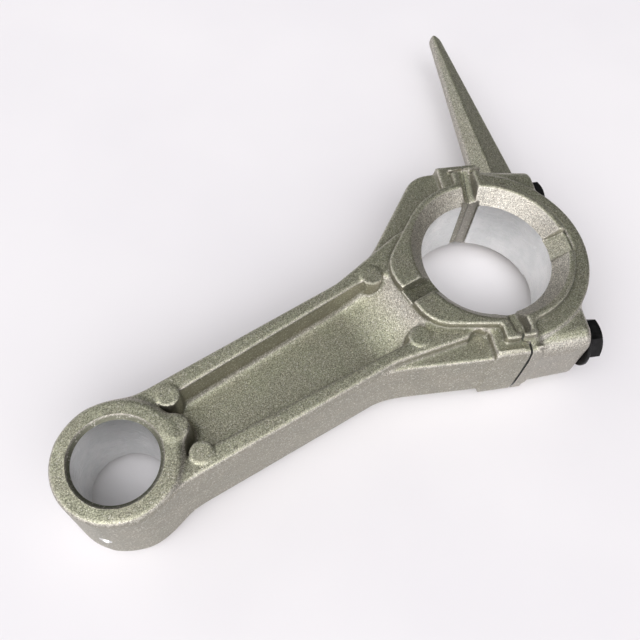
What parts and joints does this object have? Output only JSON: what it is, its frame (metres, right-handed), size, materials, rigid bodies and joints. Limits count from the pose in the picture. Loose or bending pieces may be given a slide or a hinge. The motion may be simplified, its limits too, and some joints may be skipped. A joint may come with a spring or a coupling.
{
  "type": "connecting rod",
  "caption": "Die-cast aluminium connecting rod for a small engine: H-section beam, piston-pin eye, and an obliquely split big end whose bolted cap carries an oil dipper.",
  "frame": {"origin": "bottom centre of the assembly's box, the rod lying flat on its side with the big end's thrust face down", "axes": "+X runs along the rod from the piston-pin eye to the crank-pin bore, +Z is both bores' axis, +Y is the side the dipper points to"},
  "size_m": [0.1762, 0.1234, 0.027],
  "materials": {
    "rod_casting": "shot-blasted die casting, bores and thrust chamfers machined bright",
    "cap_casting": "shot-blasted die casting, bore machined bright",
    "bolt_steel": "black oxide"
  },
  "bodies": {
    "rod": {"connecting_rod": "rod_casting"},
    "cap": {"rod_cap": "cap_casting"},
    "upper_bolt": {"cap_bolt_upper": "bolt_steel"},
    "lower_bolt": {"cap_bolt_lower": "bolt_steel"}
  },
  "joints": [
    {"name": "cap_slide", "type": "slide", "parent": "rod", "child": "cap", "axis": [0.9178, -0.3971, 0], "range_m": [0, 0.016]},
    {"name": "upper_bolt_turn", "type": "hinge", "parent": "cap", "child": "upper_bolt", "pos_m": [0.04601, -0.00241, 0.0135], "axis": [0.9178, -0.3971, 0], "range_deg": [0, 4618]},
    {"name": "lower_bolt_turn", "type": "hinge", "parent": "cap", "child": "lower_bolt", "pos_m": [0.02695, -0.04646, 0.0135], "axis": [0.9178, -0.3971, 0], "range_deg": [0, 4618]}
  ],
  "couplings": [
    {"joint": "upper_bolt_turn", "follows": "cap_slide", "rad_per_m": 5026.5},
    {"joint": "lower_bolt_turn", "follows": "cap_slide", "rad_per_m": 5026.5}
  ]
}
